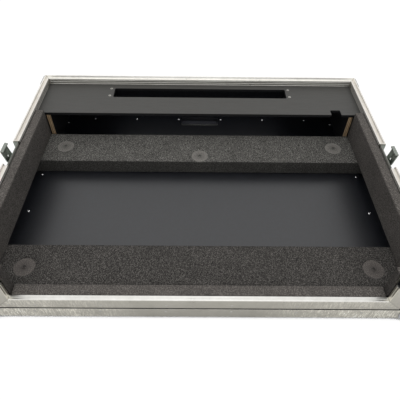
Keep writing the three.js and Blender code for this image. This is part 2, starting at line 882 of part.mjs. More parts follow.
// Wing: a flared plate folded up against the claw, with a knuckle on each side of the block
function latchWing() {
  const level = spindleHeight;
  const inner = hingeBlockHalf + runningFit;
  const outer = inner + knuckleLength;
  const tip = level + wingLength;
  const waist = level + knuckleRadius + wingRound / 2;
  const shape = new THREE.Shape();
  shape.moveTo(-inner, level);
  shape.lineTo(-inner, level + wingWindow);
  shape.lineTo(inner, level + wingWindow);
  shape.lineTo(inner, level);
  shape.lineTo(outer, level);
  shape.quadraticCurveTo(outer, waist, wingHalfWidth, waist);
  shape.lineTo(wingHalfWidth, tip - wingRound);
  shape.quadraticCurveTo(wingHalfWidth, tip, wingHalfWidth - wingRound, tip);
  shape.quadraticCurveTo(0, tip - wingDip, -wingHalfWidth + wingRound, tip);
  shape.quadraticCurveTo(-wingHalfWidth, tip, -wingHalfWidth, tip - wingRound);
  shape.lineTo(-wingHalfWidth, waist);
  shape.quadraticCurveTo(-outer, waist, -outer, level);
  const half = wingThickness / 2;
  const blade = solid(plate(shape, hingeAxisDepth - half, hingeAxisDepth + half));
  const left = solid(roundAcross(knuckleRadius, -outer, -inner, hingeAxisDepth, level, 20));
  const right = solid(roundAcross(knuckleRadius, inner, outer, hingeAxisDepth, level, 20));
  const hole = hingePinRadius + hingePinClearance;
  const bore = solid(roundAcross(hole, -outer - overrun, outer + overrun, hingeAxisDepth, level, 20));
  return geometryOf(blade.add(left).add(right).subtract(bore));
}

function latches() {
  for (const side of ['left', 'right']) {
    const frame = sideFrame(sides[side]);
    frame.position.z = underside;
    add(`latch_dish_${side}`, latchDish(), 'zinc', frame);
    add(`latch_claw_${side}`, latchClaw(), 'zinc', frame);
    add(`latch_spindle_${side}`, latchSpindle(), 'zinc', frame);
    add(`latch_wing_${side}`, latchWing(), 'steel', frame);
  }
}

plywoodWalls();
bottomEdges();
cornerEdges();
rim();
cutoutTrim();
ballCorners();
cornerBraces();
feet();
foamRails();
sideFoams();
frontFoams();
shelf();
latches();

export default flightCase;
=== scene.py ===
# Looks of an open flight case base for a wide DJ controller.
# Metres, +X to the right, +Y to the back, +Z up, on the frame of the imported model.

import json
import math

import bmesh
import bpy
import numpy as np
from mathutils import Matrix, Vector, noise

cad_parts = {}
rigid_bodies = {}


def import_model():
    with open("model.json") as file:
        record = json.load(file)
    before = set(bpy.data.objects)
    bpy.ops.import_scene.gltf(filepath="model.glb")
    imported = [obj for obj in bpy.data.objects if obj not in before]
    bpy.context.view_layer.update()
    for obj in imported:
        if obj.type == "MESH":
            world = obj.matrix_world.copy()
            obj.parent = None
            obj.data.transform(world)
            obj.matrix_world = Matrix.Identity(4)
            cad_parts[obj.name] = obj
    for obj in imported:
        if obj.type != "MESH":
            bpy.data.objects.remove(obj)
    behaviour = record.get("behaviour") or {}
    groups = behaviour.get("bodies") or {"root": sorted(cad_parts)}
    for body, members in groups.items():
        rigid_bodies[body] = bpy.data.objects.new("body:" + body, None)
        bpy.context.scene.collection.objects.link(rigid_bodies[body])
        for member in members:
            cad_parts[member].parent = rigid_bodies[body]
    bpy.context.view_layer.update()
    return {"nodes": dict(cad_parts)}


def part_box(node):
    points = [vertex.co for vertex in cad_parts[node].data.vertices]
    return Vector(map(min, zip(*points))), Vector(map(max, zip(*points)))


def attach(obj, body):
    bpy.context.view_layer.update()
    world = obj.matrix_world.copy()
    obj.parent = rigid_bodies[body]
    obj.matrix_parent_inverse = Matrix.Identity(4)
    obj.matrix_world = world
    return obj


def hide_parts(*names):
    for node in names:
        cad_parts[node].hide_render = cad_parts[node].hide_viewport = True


for item in list(bpy.data.objects):
    bpy.data.objects.remove(item, do_unlink=True)

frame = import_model()
nodes = frame["nodes"]

MM = 0.001

# Main levels and places of the case, in millimetres
HALF_WIDTH = 401
HALF_DEPTH = 301
UNDERSIDE = 8
RIM_TOP = 133
FLOOR_TOP = 22.25
SHELF_TOP = 118
WASHER_RADIUS = 20.25

# Limits within one piece between differently coloured faces, in millimetres
LEG_TOP = RIM_TOP - 0.6
RIM_INSIDE = HALF_WIDTH - 13
DISH_BACK = HALF_WIDTH - 11.3
FLANGE_TOP = UNDERSIDE + 2.6

WHITE = (1.0, 1.0, 1.0)


# ---- shaders

class Shade:
    """A Principled material of procedural textures, which lie in the object's own frame.

    At rest that is the frame of the case, and the textures move with the object's body.
    """

    def __init__(self, name, **values):
        self.material = bpy.data.materials.new(name)
        self.material.use_nodes = True
        self.tree = self.material.node_tree
        self.bsdf = self.tree.nodes["Principled BSDF"]
        for socket, value in values.items():
            self.bsdf.inputs[socket.replace("_", " ")].default_value = value
        self.place = self.tree.nodes.new("ShaderNodeTexCoord").outputs["Object"]

    def node(self, kind, links=None, values=None, **props):
        made = self.tree.nodes.new(kind)
        for name, value in props.items():
            setattr(made, name, value)
        for name, value in (values or {}).items():
            made.inputs[name].default_value = value
        for name, source in (links or {}).items():
            self.tree.links.new(source, made.inputs[name])
        return made

    def wire(self, socket, source):
        self.tree.links.new(source, self.bsdf.inputs[socket])

    # Places and directions

    def stretched(self, scale):
        return self.node("ShaderNodeMapping", {"Vector": self.place}, {"Scale": scale}).outputs[0]

    def place_along(self, axis):
        return self.node("ShaderNodeSeparateXYZ", {"Vector": self.place}).outputs[axis]

    def away_along(self, axis):
        """Distance from the middle of the case along an axis."""
        return self.math("ABSOLUTE", self.place_along(axis))

    def facing_along(self, axis):
        """1 on faces square to an axis, 0 on faces along it."""
        normal = self.node("ShaderNodeTexCoord").outputs["Normal"]
        turn = self.node("ShaderNodeSeparateXYZ", {"Vector": normal}).outputs[axis]
        return self.math("ABSOLUTE", turn)

    def upright(self, start=0.25, end=0.8):
        """0 on level faces, 1 on upright ones."""
        return self.between(self.facing_along("Z"), 1.0, 0.0, start, end)

    # Textures

    def noise(self, scale, detail=2.0, rough=0.5, vector=None):
        values = {"Scale": scale, "Detail": detail, "Roughness": rough}
        made = self.node("ShaderNodeTexNoise", {"Vector": vector or self.place}, values)
        return made.outputs["Fac"]

    def cells(self, scale):
        made = self.node("ShaderNodeTexVoronoi", {"Vector": self.place}, {"Scale": scale})
        return made.outputs["Distance"]

    # Numbers and colours

    def ramp(self, fac, stops):
        made = self.node("ShaderNodeValToRGB", {"Fac": fac})
        items = made.color_ramp.elements
        while len(items) < len(stops):
            items.new(0.5)
        for item, (position, colour) in zip(items, stops):
            item.position = position
            grey = isinstance(colour, (int, float))
            item.color = (colour, colour, colour, 1) if grey else (*colour, 1)
        return made.outputs["Color"]

    def between(self, fac, low, high, start=0.0, end=1.0):
        """Runs from low to high while fac runs from start to end."""
        values = {"From Min": start, "From Max": end, "To Min": low, "To Max": high}
        return self.node("ShaderNodeMapRange", {"Value": fac}, values).outputs[0]

    def math(self, operation, first, second=0.5):
        made = self.node("ShaderNodeMath", operation=operation)
        for index, item in enumerate((first, second)):
            if isinstance(item, (int, float)):
                made.inputs[index].default_value = item
            else:
                self.tree.links.new(item, made.inputs[index])
        return made.outputs[0]

    def below(self, value, limit):
        """1 where a length in metres is below a limit in millimetres, else 0."""
        return self.math("LESS_THAN", value, limit * MM)

    def product(self, first, *others):
        for other in others:
            first = self.math("MULTIPLY", first, other)
        return first

    def total(self, *parts):
        """Weighted sum of (value, weight) pairs."""
        items = [item if weight == 1 else self.math("MULTIPLY", item, weight)
                 for item, weight in parts]
        result = items[0]
        for item in items[1:]:
            result = self.math("ADD", result, item)
        return result

    def mix(self, fac, first, second, blend="MIX"):
        made = self.node("ShaderNodeMix", data_type="RGBA", blend_type=blend)
        for index, item in ((0, fac), (6, first), (7, second)):
            if isinstance(item, (int, float)):
                made.inputs[index].default_value = item
            elif isinstance(item, tuple):
                made.inputs[index].default_value = (*item, 1)
            else:
                self.tree.links.new(item, made.inputs[index])
        return made.outputs[2]

    def toned(self, colour, tone):
        """A colour multiplied by a number or by another colour."""
        if isinstance(tone, (int, float)):
            tone = (tone, tone, tone)
        return self.mix(1.0, colour, tone, "MULTIPLY")

    def bump(self, height, distance, strength=1.0, under=None):
        links = {"Height": height}
        if under is not None:
            links["Normal"] = under
        values = {"Distance": distance, "Strength": strength}
        made = self.node("ShaderNodeBump", links, values)
        self.wire("Normal", made.outputs[0])
        return made.outputs[0]


MILL_TONES = [(0.3, (0.63, 0.625, 0.59)), (0.5, (0.74, 0.73, 0.69)), (0.7, (0.83, 0.82, 0.79))]
CLOUD_TONES = [(0.35, (0.68, 0.67, 0.64)), (0.65, (0.84, 0.83, 0.80))]
# Painted shade: the duller tone of upright faces under the rim's shoulder
SHADED_LEG_TONE = (0.60, 0.585, 0.54)
# Painted shade on faces seen in shadow through the hole in the floor board
HOLE_SHADE = (0.065, 0.068, 0.082)


def rubbed(shade, colour, worn):
    """Chips and scuffs on upright faces, from the middle of the case towards its ends."""
    ends = shade.between(shade.away_along("X"), 0.0, 1.0, 0.1, 0.24)
    strokes = shade.noise(1.0, 4.0, 0.8, shade.stretched([430.0, 430.0, 90.0]))
    chips = shade.ramp(strokes, [(0.42, 0.95), (0.51, 1.14), (0.61, worn + 0.4)])
    patches = shade.ramp(shade.noise(30.0, 3.0, 0.6), [(0.36, 0.4), (0.56, 1.0)])
    where = shade.product(ends, patches, shade.upright())
    return shade.mix(where, colour, shade.toned(colour, shade.toned(chips, worn)))


def under_floor(shade):
    """1 on the faces of the bottom angles under the floor board, inside the case: painted shade."""
    inside = shade.product(
        shade.below(shade.place_along("Z"), FLANGE_TOP),
        shade.math("GREATER_THAN", shade.place_along("Z"), (UNDERSIDE + 0.1) * MM),
    )
    deep = shade.below(shade.away_along("Y"), HALF_DEPTH - 1)
    wide = shade.below(shade.away_along("X"), HALF_WIDTH - 1)
    return shade.product(inside, deep, wide)


def aluminium(name, run, shaded_under_floor=False, worn=0.0, painted_top_light=WHITE, inner_leg_shade=1.0, painted_return_light=1.0):
    """Mill finish extrusion: die lines along its run, blotches, and fine scratches across.

    The top tone, a painted highlight, tones every face but the upright ones under the rim's
    shoulder, which get a painted shade of a duller tone instead.
    Sections shaded under the floor board get a painted shade, dark and little metallic, where
    they lie under it and show through its hole; worn ones are chipped and scuffed towards their
    ends. The grooved leg of a side rim can get a painted shade, and the faces that look along
    the case's width a painted highlight.
    """
    shade = Shade(name, Metallic=1.0)
    along = [900.0, 900.0, 900.0]
    along["XYZ".index(run)] = 2.5
    lines = shade.noise(1.0, 3.0, 0.6, shade.stretched(along))
    blotch = shade.noise(95.0, 4.0, 0.62)
    cloud = shade.noise(14.0, 3.0, 0.5)
    tone = shade.total((lines, 0.35), (blotch, 0.65))
    clouded = shade.mix(0.35, shade.ramp(tone, MILL_TONES), shade.ramp(cloud, CLOUD_TONES))
    leg = shade.below(shade.place_along("Z"), LEG_TOP)
    # Painted highlight on level faces, painted shade on upright faces under the rim's shoulder
    painted_light_and_shade = shade.mix(shade.product(shade.upright(), leg), painted_top_light, SHADED_LEG_TONE)
    colour = shade.toned(clouded, painted_light_and_shade)
    # Painted shade on the grooved leg of a side rim, which faces into the dark case
    if inner_leg_shade != 1.0:
        near = shade.below(shade.away_along("X"), RIM_INSIDE)
        colour = shade.mix(shade.product(near, leg), colour, shade.toned(colour, inner_leg_shade))
    if shaded_under_floor:
        # Painted shade, dark and little metallic, where the angles lie under the floor board
        hidden = under_floor(shade)
        colour = shade.mix(hidden, colour, HOLE_SHADE)
        shade.wire("Metallic", shade.between(hidden, 1.0, 0.1))
    if worn:
        colour = rubbed(shade, colour, worn)
    # Painted highlight on the faces that look along the case's width
    if painted_return_light != 1.0:
        turned = shade.math("GREATER_THAN", shade.facing_along("X"), 0.6)
        colour = shade.mix(turned, colour, shade.toned(colour, painted_return_light))
    shade.wire("Base Color", colour)
    shade.wire("Roughness", shade.between(shade.total((tone, 1), (cloud, 0.5)), 0.12, 0.38))
    scratch = shade.noise(1.0, 2.0, 0.7, shade.stretched([130.0, 1500.0, 700.0]))
    under = shade.bump(lines, 0.00004, 0.5)
    shade.bump(shade.total((scratch, 0.5), (blotch, 1)), 0.00012, 0.2, under)
    return shade.material


def plated(name, dark, light, rough=(0.22, 0.42), size=120.0, back=None):
    """Plated or die-cast metal with a faint mottle and handling marks.

    Back is the dull colour of a latch dish's back, which is seen past the foam.
    """
    shade = Shade(name, Metallic=1.0)
    mottle = shade.noise(size, 4.0, 0.6)
    fine = shade.noise(size * 9, 2.0, 0.5)
    colour = shade.ramp(mottle, [(0.32, dark), (0.68, light)])
    if back:
        hidden = shade.below(shade.away_along("X"), DISH_BACK)
        colour = shade.mix(hidden, colour, back)
        shade.wire("Metallic", shade.between(hidden, 1.0, 0.1))
    shade.wire("Base Color", colour)
    shade.wire("Roughness", shade.between(shade.total((mottle, 1), (fine, 0.3)), *rough))
    shade.bump(shade.total((mottle, 1), (fine, 0.4)), 0.00008, 0.4)
    return shade.material


def foam_cells(name, tones, flecks, pits, side_shade=0.72, calm=0.0):
    """Closed-cell foam: pitted, with pale flecks where cells are cut through.

    Tones are those of pits, skin and flecks. Its upright faces are darkened by a painted shade
    of the given tone, and calm takes that share of the flecks off them.
    """
    dark, middle, light = tones
    shade = Shade(name, Roughness=0.93, Specular_IOR_Level=0.25)
    cell = shade.cells(flecks)
    grain = shade.noise(flecks * 1.15, 2.5, 0.62)
    patch = shade.noise(18.0, 3.0, 0.55)
    fleck = shade.total((cell, 0.5), (grain, 0.8))
    speckled = shade.ramp(fleck, [(0.42, dark), (0.62, middle), (0.80, light)])
    even = tuple(c * 1.12 for c in middle)
    colour = shade.mix(shade.product(shade.upright(), calm), speckled, even)
    varied = shade.toned(colour, shade.ramp(patch, [(0.3, 0.86), (0.7, 1.1)]))
    # Painted shade: upright faces darker than level ones
    cut = shade.mix(shade.upright(), WHITE, (side_shade, side_shade, side_shade))
    shade.wire("Base Color", shade.toned(varied, cut))
    shade.bump(fleck, 0.0007, pits)
    return shade.material


# Tones of a washer's face from its middle to its rim, and of its speckles
WASHER_RINGS = [
    (0.0, 0.32), (0.13, 0.36), (0.16, 0.86), (0.5, 1.12), (0.86, 1.34), (0.96, 1.4), (1.0, 0.85),
]
WASHER_SPECKS = [
    (0.36, (0.05, 0.049, 0.045)), (0.5, (0.115, 0.112, 0.104)), (0.64, (0.24, 0.234, 0.217)),
]
WASHER_WEAR = (0.115, 0.100, 0.096)


def washer_face(name, tone):
    """Broad speckled washer, paler towards its rim, with the dark socket of its screw."""
    shade = Shade(name, Roughness=0.7, Specular_IOR_Level=0.3)
    across = shade.node("ShaderNodeTexCoord").outputs["Generated"]
    centred = {"Location": (-1.0, -1.0, 0.0), "Scale": (2.0, 2.0, 0.0)}
    flat = shade.node("ShaderNodeMapping", {"Vector": across}, centred).outputs[0]
    away = shade.node("ShaderNodeVectorMath", {"Vector": flat}, operation="LENGTH").outputs["Value"]
    speck = shade.noise(700.0, 2.5, 0.6)
    worn = shade.noise(120.0, 3.0, 0.6)
    base = shade.ramp(speck, WASHER_SPECKS)
    tint = shade.mix(shade.product(worn, 0.35), base, WASHER_WEAR)
    ringed = shade.toned(tint, shade.ramp(away, WASHER_RINGS))
    shade.wire("Base Color", shade.toned(ringed, tone))
    shade.bump(shade.total((speck, 1), (worn, 0.5)), 0.0003, 0.4)
    return shade.material


def laminate(name, colour, rough, shine):
    """Black film-faced plywood: smooth, faintly wavy, with dust and hairline rubs."""
    shade = Shade(name, Specular_IOR_Level=shine)
    wave = shade.noise(38.0, 2.0, 0.5)
    fine = shade.noise(1400.0, 2.0, 0.5)
    dust = shade.noise(160.0, 5.0, 0.7)
    rub = shade.noise(1.0, 3.0, 0.7, shade.stretched([120.0, 700.0, 120.0]))
    dusty = tuple(c * 1.8 + 0.003 for c in colour)
    settled = shade.ramp(dust, [(0.45, 0.0), (0.8, 1.0)])
    shade.wire("Base Color", shade.mix(settled, colour, dusty))
    shade.wire("Roughness", shade.between(shade.total((wave, 0.7), (rub, 0.3)), *rough))
    under = shade.bump(wave, 0.0003, 0.06)
    shade.bump(fine, 0.00003, 0.35, under)
    return shade.material


def board(name, dark, light):
    """Shelf board with a grey matt film, finely grained along its length.

    Its upright edges get a painted shade of near black, and the rounded edges between a pale
    painted highlight.
    """
    shade = Shade(name, Specular_IOR_Level=0.35)
    grain = shade.noise(1.0, 4.0, 0.65, shade.stretched([30.0, 420.0, 420.0]))
    speck = shade.noise(600.0, 2.0, 0.5)
    tone = shade.total((grain, 0.6), (speck, 0.4))
    face = shade.ramp(tone, [(0.35, dark), (0.65, light)])
    turned = shade.upright(0.05, 0.97)
    # Painted highlight, pale, on the rounded edges
    edges = shade.ramp(turned, [(0.02, 0.0), (0.06, 1.0), (0.7, 1.0), (0.9, 0.0)])
    # Painted shade, near black, on the upright edges
    painted_edge_shade = shade.ramp(turned, [(0.7, 0.0), (0.92, 1.0)])
    worn = shade.mix(edges, face, (0.30, 0.30, 0.27))
    shade.wire("Base Color", shade.mix(painted_edge_shade, worn, (0.006, 0.006, 0.007)))
    shade.wire("Roughness", shade.between(tone, 0.42, 0.62))
    shade.bump(tone, 0.00008, 0.4)
    return shade.material


# One pair of veneers, a thick pale one and a thin dark one
VENEERS = [
    (0.0, (0.60, 0.45, 0.28)), (0.46, (0.50, 0.365, 0.22)),
    (0.54, (0.20, 0.125, 0.07)), (1.0, (0.28, 0.18, 0.105)),
]
VENEER_PAIR = 0.0038


def plywood(name):
    """Film-faced board whose front and back edges show bare veneers."""
    shade = Shade(name, Specular_IOR_Level=0.3)
    warp = shade.noise(60.0, 3.0, 0.6)
    across = shade.total((shade.place_along("X"), 1), (warp, 0.0006))
    layer = shade.math("FRACT", shade.product(across, 1 / VENEER_PAIR))
    fibre = shade.noise(1.0, 3.0, 0.7, shade.stretched([900.0, 900.0, 55.0]))
    streaks = shade.ramp(fibre, [(0.4, 0.0), (0.65, 0.7)])
    bare = shade.mix(streaks, shade.ramp(layer, VENEERS), (0.10, 0.07, 0.045))
    edge = shade.math("GREATER_THAN", shade.facing_along("Y"), 0.6)
    shade.wire("Base Color", shade.mix(edge, (0.012, 0.012, 0.013), bare))
    shade.wire("Roughness", shade.between(edge, 0.45, 0.8))
    shade.bump(fibre, 0.0002, 0.5)
    return shade.material


def rubber(name):
    shade = Shade(name, Specular_IOR_Level=0.3)
    grain = shade.noise(900.0, 3.0, 0.6)
    worn = shade.noise(70.0, 3.0, 0.6)
    tones = [(0.35, (0.011, 0.011, 0.011)), (0.7, (0.028, 0.027, 0.026))]
    shade.wire("Base Color", shade.ramp(worn, tones))
    shade.wire("Roughness", shade.between(worn, 0.62, 0.85))
    shade.bump(grain, 0.0002, 0.5)
    return shade.material


# Pits, skin and flecks of the foams; the front rail's are a darker copy, a painted shade
RAIL_FOAM = ((0.006, 0.0058, 0.0055), (0.037, 0.0359, 0.0339), (0.23, 0.2246, 0.211))
SHADED_FRONT_FOAM = ((0.002, 0.0019, 0.0018), (0.0155, 0.0146, 0.0138), (0.152, 0.143, 0.135))
LINING_FOAM = ((0.042, 0.0388, 0.0362), (0.083, 0.0762, 0.071), (0.172, 0.158, 0.148))

# Dark and light of the latches' zinc and of the heads of rivets
ZINC = ((0.20, 0.222, 0.196), (0.36, 0.385, 0.35))
POLISHED = ((0.80, 0.80, 0.80), (0.95, 0.95, 0.95))
DULL = ((0.42, 0.41, 0.38), (0.56, 0.55, 0.51))
SATIN = ((0.60, 0.60, 0.58), (0.80, 0.80, 0.78))

FINISH = {
    "metal_x": aluminium("aluminium_run_x", "X"),
    "metal_z": aluminium("aluminium_run_z", "Z"),
    # The rims get a stronger painted highlight on their level faces
    "back_rim": aluminium("aluminium_back_rim", "X", painted_top_light=(1.22, 1.22, 1.22)),
    "side_rim": aluminium("aluminium_side_rim", "Y", painted_top_light=(1.10, 1.07, 1.05), inner_leg_shade=0.36),
    "front_edge": aluminium("aluminium_front_edge", "X", shaded_under_floor=True, worn=1.42),
    "edge_x": aluminium("aluminium_back_edge", "X", shaded_under_floor=True),
    "edge_y": aluminium("aluminium_side_edge", "Y", shaded_under_floor=True),
    "lip": aluminium("aluminium_lip", "X", worn=1.1),
    "post": aluminium("aluminium_post", "Z", painted_return_light=1.6),
    "steel": plated("plated_steel", (0.40, 0.41, 0.41), (0.66, 0.67, 0.67), (0.16, 0.34), 70.0),
    "rivet": plated("rivet_heads", *POLISHED, (0.12, 0.24), 500.0),
    "dull_rivet": plated("dull_rivet_heads", *DULL, (0.3, 0.45), 500.0),
    "rim_rivet": plated("rim_rivet_heads", *SATIN, (0.18, 0.32), 500.0),
    "zinc": plated("latch_zinc", *ZINC, (0.25, 0.5), 330.0),
    "dish": plated("latch_dish_zinc", *ZINC, (0.25, 0.5), 330.0, (0.35, 0.35, 0.32)),
    "wing": plated("latch_wing_steel", (0.50, 0.52, 0.51), (0.74, 0.75, 0.74)),
    "rail_foam": foam_cells("rail_foam", RAIL_FOAM, 700.0, 0.9, calm=0.6),
    "front_rail_foam": foam_cells("front_rail_foam", SHADED_FRONT_FOAM, 820.0, 0.9, calm=0.6),
    "lining_foam": foam_cells("lining_foam", LINING_FOAM, 560.0, 0.6, 0.62),
    "corner_foam": foam_cells("corner_foam", LINING_FOAM, 560.0, 0.6, 0.45),
    # The front rail's washers get a darker tone than the rear ones, a painted shade
    "washer": washer_face("washer_face", (1.1, 1.1, 1.1)),
    "shaded_front_washer": washer_face("front_washer_face", (0.64, 0.6, 0.6)),
    "laminate": laminate("black_laminate", (0.0034, 0.0042, 0.0070), (0.34, 0.42), 0.95),
    "wall_laminate": laminate("wall_laminate", (0.004, 0.0045, 0.0065), (0.36, 0.46), 0.3),
    "front_laminate": laminate("front_laminate", (0.003, 0.003, 0.004), (0.5, 0.62), 0.12),
    "shelf": board("shelf_board", (0.054, 0.053, 0.050), (0.076, 0.075, 0.071)),
    "plywood": plywood("edge_plywood"),
    "rubber": rubber("foot_rubber"),
}


# ---- CAD nodes that stay, with softened edges

SHARP_OVER = math.radians(35)
BEVEL_OVER = math.radians(40)
FLAT_WITHIN = math.radians(0.2)
WELD_WITHIN = 0.000005


def smooth_by_angle():
    """Geometry nodes that shade smooth, keep steep edges sharp and drop old normals."""
    group = bpy.data.node_groups.new("smooth_by_angle", "GeometryNodeTree")
    for way in ("INPUT", "OUTPUT"):
        group.interface.new_socket("Geometry", in_out=way, socket_type="NodeSocketGeometry")
    start = group.nodes.new("NodeGroupInput")
    end = group.nodes.new("NodeGroupOutput")
    drop = group.nodes.new("GeometryNodeRemoveAttribute")
    drop.inputs["Name"].default_value = "custom_normal"
    faces = group.nodes.new("GeometryNodeSetShadeSmooth")
    faces.domain = "FACE"
    edges = group.nodes.new("GeometryNodeSetShadeSmooth")
    edges.domain = "EDGE"
    edges.inputs["Shade Smooth"].default_value = False
    angle = group.nodes.new("GeometryNodeInputMeshEdgeAngle")
    over = group.nodes.new("FunctionNodeCompare")
    over.operation = "GREATER_THAN"
    over.inputs["B"].default_value = SHARP_OVER
    link = group.links.new
    link(start.outputs[0], drop.inputs["Geometry"])
    link(drop.outputs["Geometry"], faces.inputs["Geometry"])
    link(faces.outputs["Geometry"], edges.inputs["Geometry"])
    link(angle.outputs["Unsigned Angle"], over.inputs["A"])
    link(over.outputs["Result"], edges.inputs["Selection"])
    link(edges.outputs["Geometry"], end.inputs[0])
    return group


SMOOTH = smooth_by_angle()


def weld(obj):
    modifier = obj.modifiers.new("weld", "WELD")
    modifier.merge_threshold = WELD_WITHIN


def dress(node, finish, edge):
    """A CAD node keeps its shape, gets a finish and an edge radius in millimetres."""
    node.data.materials.clear()
    node.data.materials.append(FINISH[finish])
    weld(node)
    merge = node.modifiers.new("flat_parts", "DECIMATE")
    merge.decimate_type = "DISSOLVE"
    merge.angle_limit = FLAT_WITHIN
    bevel = node.modifiers.new("edges", "BEVEL")
    bevel.width = edge * MM
    bevel.segments = 2
    bevel.limit_method = "ANGLE"
    bevel.angle_limit = BEVEL_OVER
    shading = node.modifiers.new("shading", "NODES")
    shading.node_group = SMOOTH
    flat = node.modifiers.new("flat_faces", "WEIGHTED_NORMAL")
    flat.keep_sharp = True
    flat.weight = 100


# How node names start, with finish and edge radius; the first line that fits counts
DRESS = [
    ("bottom_edge_front", "front_edge", 0.3),
    ("bottom_edge_back", "edge_x", 0.3),
    ("bottom_edge_", "edge_y", 0.3),
    ("corner_edge_", "metal_z", 0.3),
    ("corner_brace_", "steel", 0.4),
    ("rim_back", "back_rim", 0.2),
    ("rim_front_", "metal_x", 0.2),
    ("rim_", "side_rim", 0.2),
    ("front_lip", "lip", 0.25),
    ("front_post_", "post", 0.25),
    ("ball_corner_", "steel", 0.3),
    ("foot_", "rubber", 0.5),
    ("rail_washer_front", "shaded_front_washer", 0.3),
    ("rail_washer_", "washer", 0.3),
    ("shelf_panel", "shelf", 0.7),
    ("shelf_", "plywood", 0.3),
    ("latch_wing_", "wing", 0.25),
    ("latch_dish_", "dish", 0.2),
    ("latch_", "zinc", 0.2),
    ("floor_panel", "laminate", 0.3),
    ("back_panel", "wall_laminate", 0.3),
    ("front_panel", "front_laminate", 0.3),
    ("left_panel", "wall_laminate", 0.3),
    ("right_panel", "wall_laminate", 0.3),
]

for name, node in nodes.items():
    if "foam" not in name:
        finish, edge = next((f, e) for start, f, e in DRESS if name.startswith(start))
        dress(node, finish, edge)


# ---- foam

VOXEL = 2.6
WELL_DEPTH = 0.0011
WELL_REACH = 6.5


def new_object(name, data):
    obj = bpy.data.objects.new(name, data)
    bpy.context.scene.collection.objects.link(obj)
    return obj


def keep_modified(obj):
    """Replaces an object's mesh by the result of its modifiers."""
    graph = bpy.context.evaluated_depsgraph_get()
    mesh = bpy.data.meshes.new_from_object(obj.evaluated_get(graph))
    obj.modifiers.clear()
    obj.data = mesh


def vectors(mesh, attribute):
    values = np.empty(len(mesh.vertices) * 3)
    mesh.vertices.foreach_get(attribute, values)
    return values.reshape(-1, 3)


def cut_foam(name, finish, wells=()):
    """Foam cut from sheet: soft edges, a slightly uneven skin, and wells pulled in by washers."""
    piece = new_object(f"{name}_cut", nodes[name].data.copy())
    weld(piece)
    remesh = piece.modifiers.new("voxels", "REMESH")
    remesh.mode = "VOXEL"
    remesh.voxel_size = VOXEL * MM
    relax = piece.modifiers.new("relax", "SMOOTH")
    relax.factor = 0.4
    relax.iterations = 2
    keep_modified(piece)
    mesh = piece.data
    places = vectors(mesh, "co")
    normals = vectors(mesh, "normal")
    rough = [(noise.noise(Vector(p) * 22.0), noise.noise(Vector(p) * 160.0)) for p in places]
    broad, fine = np.array(rough).T
    moved = places - normals * (0.00006 + 0.00012 * broad + 0.0001 * fine)[:, None]
    for x, y in wells:
        away = np.hypot(places[:, 0] - x * MM, places[:, 1] - y * MM) / MM - WASHER_RADIUS
        near = (normals[:, 2] > 0.5) & (away > -1.0) & (away < 30.0)
        sunk = WELL_DEPTH * np.exp(-np.maximum(away, 0.0) / WELL_REACH)
        moved[:, 2] -= np.where(near, sunk, 0.0)
    mesh.vertices.foreach_set("co", moved.ravel())
    mesh.polygons.foreach_set("use_smooth", [True] * len(mesh.polygons))
    mesh.materials.clear()
    mesh.materials.append(FINISH[finish])
    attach(piece, "case")
    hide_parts(name)


def centre(name):
    low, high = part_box(name)
    return (low.x + high.x) / 2 / MM, (low.y + high.y) / 2 / MM


front_wells = [centre(f"rail_washer_front_{side}") for side in ("left", "right")]
rear_wells = [centre(f"rail_washer_rear_{side}") for side in ("left", "middle", "right")]

cut_foam("front_rail_foam", "front_rail_foam", front_wells)
cut_foam("rear_rail_foam", "rail_foam", rear_wells)
for name in ("side_foam_left", "side_foam_right", "front_foam_strip"):
    cut_foam(name, "lining_foam")
for name in ("front_corner_foam_left", "front_corner_foam_right"):
    cut_foam(name, "corner_foam")


# ---- rivets and screws, in millimetres

HEAD_SIDES = 18


def turned_heads(name, spots, profile, finish):
    """One mesh of small turned heads: spots are (place, normal), profile (radius, height)."""
    mesh = bmesh.new()
    for place, normal in spots:
        turn = Vector(normal).to_track_quat("Z", "X").to_matrix().to_4x4()
        put = Matrix.Translation(Vector(place) * MM) @ turn
        rings = []
        for radius, height in profile:
            if radius == 0:
                rings.append([mesh.verts.new(put @ Vector((0, 0, height * MM)))])
                continue
            ring = []
            for i in range(HEAD_SIDES):
                angle = 2 * math.pi * i / HEAD_SIDES
                corner = Vector((radius * math.cos(angle), radius * math.sin(angle), height)) * MM
                ring.append(mesh.verts.new(put @ corner))
            rings.append(ring)
        for low, high in zip(rings, rings[1:]):
            for i in range(HEAD_SIDES):
                j = (i + 1) % HEAD_SIDES
                if len(high) == 1:
                    mesh.faces.new((low[i], low[j], high[0]))
                else:
                    mesh.faces.new((low[i], low[j], high[j], high[i]))
        mesh.faces.new(list(reversed(rings[0])))
    data = bpy.data.meshes.new(name)
    mesh.to_mesh(data)
    mesh.free()
    data.polygons.foreach_set("use_smooth", [True] * len(data.polygons))
    data.materials.append(FINISH[finish])
    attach(new_object(name, data), "case")


def rivet(radius, height):
    """Domed blind rivet with the dimple of its mandrel."""
    return [
        (radius, -0.3),
        (radius, height * 0.18),
        (radius * 0.9, height * 0.55),
        (radius * 0.66, height * 0.88),
        (radius * 0.36, height),
        (radius * 0.27, height * 0.8),
        (0, height * 0.7),
    ]


FLOOR_RIVET = rivet(3.3, 1.5)
EDGE_RIVET = rivet(2.7, 0.8)
LIP_RIVET = rivet(2.6, 0.8)
RIM_RIVET = rivet(3.4, 1.4)
UNDER_RIVET = rivet(3.4, 1.2)
LATCH_RIVET = rivet(2.6, 1.1)
SCREW = [(3.3, -0.4), (3.3, 0.15), (2.9, 0.35), (1.5, 0.38), (1.2, -0.3), (0, -0.35)]

UP, DOWN = (0, 0, 1), (0, 0, -1)
FACES = {"front": (0, -1, 0), "back": (0, 1, 0), "left": (-1, 0, 0), "right": (1, 0, 0)}
CORNERS = [(sx, sy) for sx in (-1, 1) for sy in (-1, 1)]

